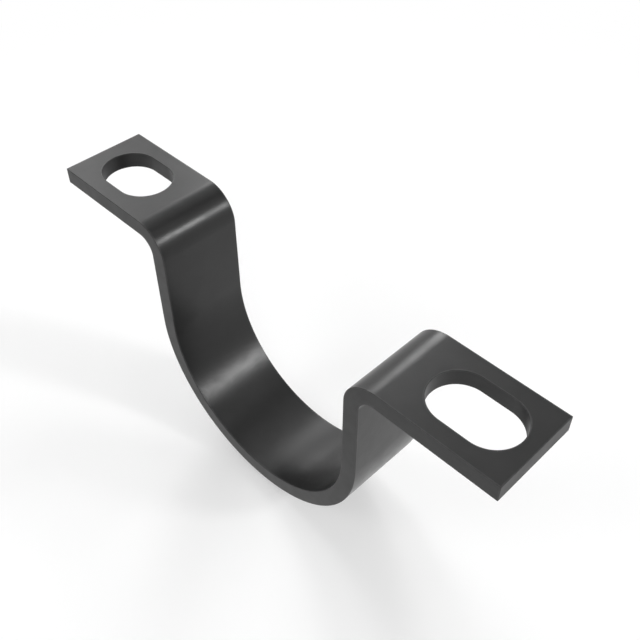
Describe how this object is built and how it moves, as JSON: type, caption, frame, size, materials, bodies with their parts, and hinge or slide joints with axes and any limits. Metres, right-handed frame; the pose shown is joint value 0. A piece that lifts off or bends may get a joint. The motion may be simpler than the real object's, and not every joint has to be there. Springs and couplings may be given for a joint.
{
  "type": "hose saddle clamp",
  "caption": "Flat steel strap bent into a U-shaped saddle that holds a hose against a surface, with a slotted flange on each side for bolts.",
  "frame": {"origin": "on the plane of the two mounting faces, over the hose's axis, at half the strap's width", "axes": "+X along the strap towards the flange with the longer slot, +Y along the hose, +Z out of the mounting faces towards the surface that the clamp is bolted to"},
  "size_m": [0.1524, 0.0254, 0.0714],
  "materials": {
    "strap_steel": "satin black paint over steel, smooth and even"
  },
  "bodies": {
    "root": {"saddle_strap": "strap_steel"}
  },
  "joints": []
}
